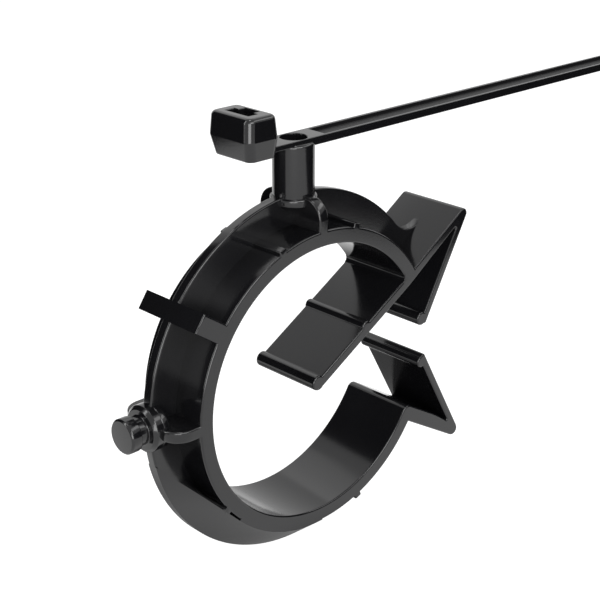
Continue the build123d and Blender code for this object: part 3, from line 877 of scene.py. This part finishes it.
FLOOR_Z, REACH = -RIM_R * MM, 4
FLOOR_TONE, FLOOR_GLOW = 0.42, 0.92
SHADE_CENTRE, SHADE_INNER, SHADE_OUTER, SHADE_LEAST = (0.0, 0.025, FLOOR_Z), 0.026, 0.042, 0.05
floor_mesh = bpy.data.meshes.new("floor")
floor_mesh.from_pydata([(-REACH, -REACH, FLOOR_Z), (REACH, -REACH, FLOOR_Z),
                        (REACH, REACH, FLOOR_Z), (-REACH, REACH, FLOOR_Z)], [], [(0, 1, 2, 3)])
floor = bpy.data.objects.new("floor", floor_mesh)
bpy.context.scene.collection.objects.link(floor)
pale = matt("pale_floor", FLOOR_TONE, 0.9)
tree = pale.node_tree
camera_ray, mirrored_ray = ray_kinds(tree)
where = add(tree, "ShaderNodeTexCoord")
away = add(tree, "ShaderNodeVectorMath", operation="DISTANCE")
away.inputs[1].default_value = SHADE_CENTRE
shade = add(tree, "ShaderNodeMapRange", interpolation_type="SMOOTHSTEP")
shade.inputs["From Min"].default_value = SHADE_INNER
shade.inputs["From Max"].default_value = SHADE_OUTER
shade.inputs["To Min"].default_value = SHADE_LEAST
shade.inputs["To Max"].default_value = 1.0
under = add(tree, "ShaderNodeMath", operation="MULTIPLY")
seen_by = add(tree, "ShaderNodeMath", operation="MAXIMUM")
glow = add(tree, "ShaderNodeEmission")
glow.inputs["Color"].default_value = (FLOOR_GLOW, FLOOR_GLOW, FLOOR_GLOW, 1)
both = add(tree, "ShaderNodeAddShader")
wire(tree, ((where.outputs["Object"], away.inputs[0]),
            (away.outputs["Value"], shade.inputs["Value"]),
            (mirrored_ray, under.inputs[0]),
            (shade.outputs["Result"], under.inputs[1]),
            (camera_ray, seen_by.inputs[0]),
            (under.outputs[0], seen_by.inputs[1]),
            (seen_by.outputs[0], glow.inputs["Strength"]),
            (tree.nodes["Principled BSDF"].outputs[0], both.inputs[0]),
            (glow.outputs[0], both.inputs[1]),
            (both.outputs[0], tree.nodes["Material Output"].inputs["Surface"])))
floor_mesh.materials.append(pale)
print("floor at z, mm:", round(FLOOR_Z / MM, 2))

# %% World
ROOM_LIGHT, ROOM_WHITE = 0.18, 1.0
world = bpy.data.worlds.new("room")
bpy.context.scene.world = world
world.use_nodes = True
tree = world.node_tree
camera_ray, mirrored_ray = ray_kinds(tree)
seen_by = add(tree, "ShaderNodeMath", operation="MAXIMUM")
level = add(tree, "ShaderNodeMix", data_type="FLOAT")
level.inputs["A"].default_value, level.inputs["B"].default_value = ROOM_LIGHT, ROOM_WHITE
tree.nodes["Background"].inputs["Color"].default_value = (1, 1, 1, 1)
wire(tree, ((camera_ray, seen_by.inputs[0]),
            (mirrored_ray, seen_by.inputs[1]),
            (seen_by.outputs[0], level.inputs["Factor"]),
            (level.outputs["Result"], tree.nodes["Background"].inputs["Strength"])))
print("the room lights the part with", ROOM_LIGHT, "and shows as", ROOM_WHITE)

# %% [markdown]
# ### Flags and lamps
# Photographers stand black cards, called flags, beside a glossy black product, so that some
# of its sides have something dark to mirror and stay black. Three of them stand here: a tall
# one at the left, whose reflection keeps the flange's rim black, a low one in front of it,
# and a bent one at the right for the strap's side. They are seen in reflections only, so they
# hide nothing in other views. The front faces of the ring mirror the pale floor. The lamps
# are soft boxes, placed where the edges of the real part show their light.

# %% Flags
felt = matt("black_felt", 0.002, 1.0)


def flag(name, foot_line, top):
    """A standing black card over a line of floor points; it casts no shadow."""
    count = len(foot_line)
    mesh = bpy.data.meshes.new(name)
    mesh.from_pydata([(x, y, z) for z in (FLOOR_Z, top) for x, y in foot_line], [],
                     [(i, i + 1, count + i + 1, count + i) for i in range(count - 1)])
    mesh.materials.append(felt)
    card = bpy.data.objects.new(name, mesh)
    bpy.context.scene.collection.objects.link(card)
    card.visible_camera = card.visible_shadow = card.visible_diffuse = False


flag("left_flag", [(-0.119, 0.074), (-0.023, 0.128)], 0.18)
flag("low_flag", [(-0.14, -0.01), (-0.119, 0.074)], 0.004)
flag("right_flag", [(0.09, -0.25), (0.135, -0.02), (0.32, -0.02)], 0.09)


# %% Lamps
def soft_box(name, centre, width, height, brightness, target=(0.01, 0, 0.01)):
    """A rectangular lamp of a given brightness that faces the part."""
    lamp = bpy.data.lights.new(name, "AREA")
    lamp.shape, lamp.size, lamp.size_y = "RECTANGLE", width, height
    lamp.energy = brightness * math.pi * width * height
    obj = bpy.data.objects.new(name, lamp)
    bpy.context.scene.collection.objects.link(obj)
    obj.location = centre
    way = Vector(centre) - Vector(target)
    obj.rotation_euler = way.to_track_quat("Z", "Y").to_euler()


# Name, centre, width, height and brightness.
LAMPS = (("left_strip", (-0.387, 0.164, 0.22), 0.08, 0.5, 6.0),
         ("front_left", (-0.292, -0.302, 0.065), 0.25, 0.2, 7.0),
         ("front_right", (-0.08, -0.377, 0.26), 0.3, 0.14, 9.0),
         ("back", (0.243, 0.347, 0.42), 0.45, 0.2, 0.6),
         ("right_high", (0.33, -0.277, 0.417), 0.6, 0.12, 3.0),
         ("top", (0.0, -0.01, 0.6), 0.15, 0.15, 8.0))
for lamp in LAMPS:
    soft_box(*lamp)

# %% Camera
LOOKS_DOWN, LOOKS_RIGHT = 22.12, 43.63         # degrees from level, and from +Y
camera_data = bpy.data.cameras.new("camera")
camera_data.sensor_width, camera_data.lens = 36.0, 82.55
camera_data.shift_x, camera_data.shift_y = -0.00055, 0.00543
camera_data.clip_start, camera_data.clip_end = 0.01, 20
camera = bpy.data.objects.new("camera", camera_data)
bpy.context.scene.collection.objects.link(camera)
camera.location = (-0.13453, -0.14259, 0.09076)
camera.rotation_euler = (math.radians(90 - LOOKS_DOWN), 0, math.radians(-LOOKS_RIGHT))
bpy.context.scene.camera = camera
bpy.context.scene.view_settings.view_transform = "Standard"
print("camera at, mm:", [round(v / MM, 1) for v in camera.location])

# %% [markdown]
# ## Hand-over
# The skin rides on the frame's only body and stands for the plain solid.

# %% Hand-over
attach(clip, "root")
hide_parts("pipe_clip_tie")
bpy.context.view_layer.update()
